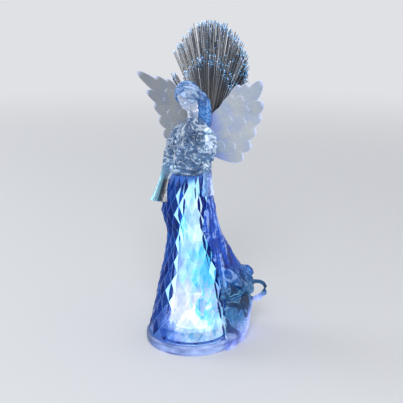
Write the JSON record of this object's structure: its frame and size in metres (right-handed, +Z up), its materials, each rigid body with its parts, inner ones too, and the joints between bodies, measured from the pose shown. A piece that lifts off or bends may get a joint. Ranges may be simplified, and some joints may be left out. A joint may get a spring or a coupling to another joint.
{
  "type": "lighted acrylic angel",
  "caption": "Clear acrylic angel with a faceted skirt, swept train, pearly wings and a fan of light fibres, lit from a battery base with a slide switch and a hinged battery door.",
  "frame": {"origin": "on the floor under the middle of the whole figure's bounding box, at the underside of the base rim", "axes": "+Z up, the figure faces -Y, +X is the figure's left"},
  "size_m": [0.1456, 0.1064, 0.2914],
  "materials": {
    "frosted_acrylic": "frosted translucent, lit from inside",
    "clear_acrylic": "clear polished acrylic, edge lit",
    "blue_lit_acrylic": "clear polished acrylic glowing blue from the lamp",
    "pearl_acrylic": "satin pearl, edge lit",
    "fibre": "polished clear light fibre with bright tips",
    "white_plastic": "fine grained moulding",
    "black_plastic": "moulded satin",
    "cell_jacket": "printed film sleeve",
    "nickel": "nickel plated",
    "board": "solder mask",
    "lamp_lens": "clear resin"
  },
  "bodies": {
    "figure": {"base_housing": "frosted_acrylic", "base_cover": "white_plastic", "cover_screw_1": "nickel", "cover_screw_2": "nickel", "cover_screw_3": "nickel", "cover_screw_4": "nickel", "battery_1": "cell_jacket", "battery_2": "cell_jacket", "battery_3": "cell_jacket", "contact_plate_1": "nickel", "contact_plate_2": "nickel", "contact_plate_3": "nickel", "contact_spring_1": "nickel", "contact_spring_2": "nickel", "contact_spring_3": "nickel", "switch_body": "black_plastic", "circuit_board": "board", "skirt_light": "lamp_lens", "light_cone": "frosted_acrylic", "skirt_shell": "blue_lit_acrylic", "train": "blue_lit_acrylic", "bodice": "clear_acrylic", "head": "clear_acrylic", "hair": "blue_lit_acrylic", "sash": "clear_acrylic", "left_sleeve": "clear_acrylic", "right_sleeve": "clear_acrylic", "joined_hands": "clear_acrylic", "left_wing": "pearl_acrylic", "right_wing": "pearl_acrylic", "fan_socket": "clear_acrylic", "fan_fibres_1": "fibre", "fan_fibres_2": "fibre", "fan_fibres_3": "fibre", "fan_fibres_4": "fibre"},
    "battery_door": {"battery_door": "white_plastic"},
    "switch_slider": {"switch_slider": "black_plastic"}
  },
  "joints": [
    {"name": "door_hinge", "type": "hinge", "parent": "figure", "child": "battery_door", "pos_m": [-0.0125, -0.01068, 0.002], "axis": [0, 1, 0], "range_deg": [0, 70]},
    {"name": "switch_slide", "type": "slide", "parent": "figure", "child": "switch_slider", "axis": [0, 1, 0], "range_m": [0, 0.004]}
  ]
}
